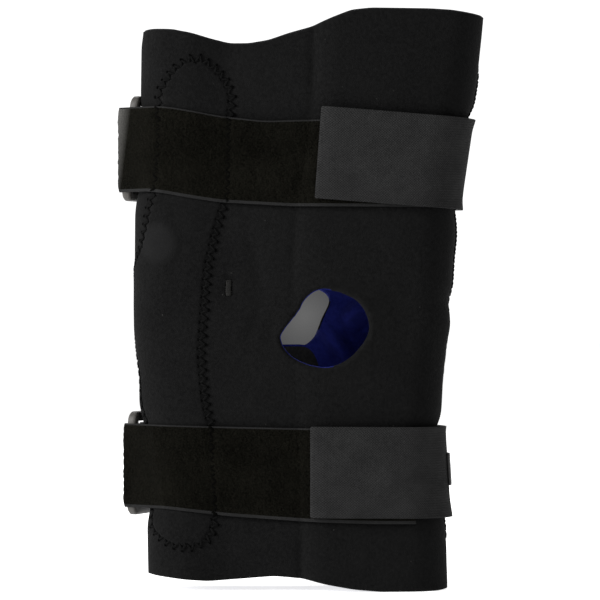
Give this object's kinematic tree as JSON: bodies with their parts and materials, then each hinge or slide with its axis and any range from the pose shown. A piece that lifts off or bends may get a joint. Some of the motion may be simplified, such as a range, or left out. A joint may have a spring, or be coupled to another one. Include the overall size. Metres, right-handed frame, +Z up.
{
  "type": "hinged knee brace",
  "caption": "Slip-on hinged knee brace: a neoprene sleeve open over the kneecap and behind the knee, with side hinges in stitched pockets and ring-and-hook straps above and below.",
  "frame": {"origin": "on the floor under the middle of the brace, which stands on its lower hem", "axes": "+Z up the leg from calf to thigh, -Y the kneecap side, +X to the right as seen from the front"},
  "size_m": [0.2044, 0.0694, 0.325],
  "materials": {
    "neoprene": "3-4 mm neoprene foam with black knit outside and blue knit lining",
    "pocket_cloth": "black stretch knit",
    "loop_pile": "black loop pile",
    "strap_webbing": "black woven webbing",
    "hook_tape": "charcoal hook tape with a woven back",
    "ring_plastic": "satin black moulded plastic",
    "arm_metal": "brushed",
    "cover_metal": "brushed",
    "rivet_metal": "polished",
    "washer_plastic": "natural nylon",
    "thread": "dark grey polyester thread",
    "label_cloth": "black satin ribbon, blank"
  },
  "bodies": {
    "calf": {"calf_sleeve": "neoprene", "knee_sleeve": "neoprene", "left_calf_pocket": "pocket_cloth", "left_knee_pocket": "pocket_cloth", "right_calf_pocket": "pocket_cloth", "right_knee_pocket": "pocket_cloth", "pocket_bar_tack": "thread", "side_label": "label_cloth", "lower_front_band": "loop_pile", "lower_strap_anchor_run": "strap_webbing", "lower_strap_return_run": "strap_webbing", "left_calf_arm": "arm_metal", "left_hinge_outer_cover": "cover_metal", "left_hinge_inner_cover": "cover_metal", "left_hinge_washers": "washer_plastic", "left_pivot_rivet": "rivet_metal", "left_cover_rivets": "rivet_metal", "left_cover_spacers": "washer_plastic", "right_calf_arm": "arm_metal", "right_hinge_outer_cover": "cover_metal", "right_hinge_inner_cover": "cover_metal", "right_hinge_washers": "washer_plastic", "right_pivot_rivet": "rivet_metal", "right_cover_rivets": "rivet_metal", "right_cover_spacers": "washer_plastic"},
    "thigh": {"thigh_sleeve": "neoprene", "left_thigh_pocket": "pocket_cloth", "right_thigh_pocket": "pocket_cloth", "left_thigh_arm": "arm_metal", "right_thigh_arm": "arm_metal", "upper_front_band": "loop_pile", "upper_strap_anchor_run": "strap_webbing", "upper_strap_return_run": "strap_webbing"},
    "upper_ring_loop": {"upper_ring": "ring_plastic", "upper_strap_turn": "strap_webbing"},
    "lower_ring_loop": {"lower_ring": "ring_plastic", "lower_strap_turn": "strap_webbing"},
    "upper_tab": {"upper_hook_tab": "hook_tape"},
    "lower_tab": {"lower_hook_tab": "hook_tape"}
  },
  "joints": [
    {"name": "knee_flexion", "type": "hinge", "parent": "calf", "child": "thigh", "pos_m": [0, 0, 0.152], "axis": [-1, 0, 0], "range_deg": [0, 110], "deforming": ["knee_sleeve", "left_knee_pocket", "right_knee_pocket", "pocket_bar_tack"]},
    {"name": "upper_ring_swing", "type": "hinge", "parent": "thigh", "child": "upper_ring_loop", "pos_m": [-0.0974, 0, 0.2473], "axis": [0, 0, 1], "range_deg": [0, 8]},
    {"name": "lower_ring_swing", "type": "hinge", "parent": "calf", "child": "lower_ring_loop", "pos_m": [-0.0944, 0, 0.0706], "axis": [0, 0, 1], "range_deg": [0, 8]},
    {"name": "upper_tab_peel", "type": "hinge", "parent": "thigh", "child": "upper_tab", "pos_m": [0.062, -0.0311, 0.2393], "axis": [0, 0, 1], "range_deg": [0, 150]},
    {"name": "lower_tab_peel", "type": "hinge", "parent": "calf", "child": "lower_tab", "pos_m": [0.053, -0.0303, 0.0662], "axis": [0, 0, 1], "range_deg": [0, 150]}
  ]
}
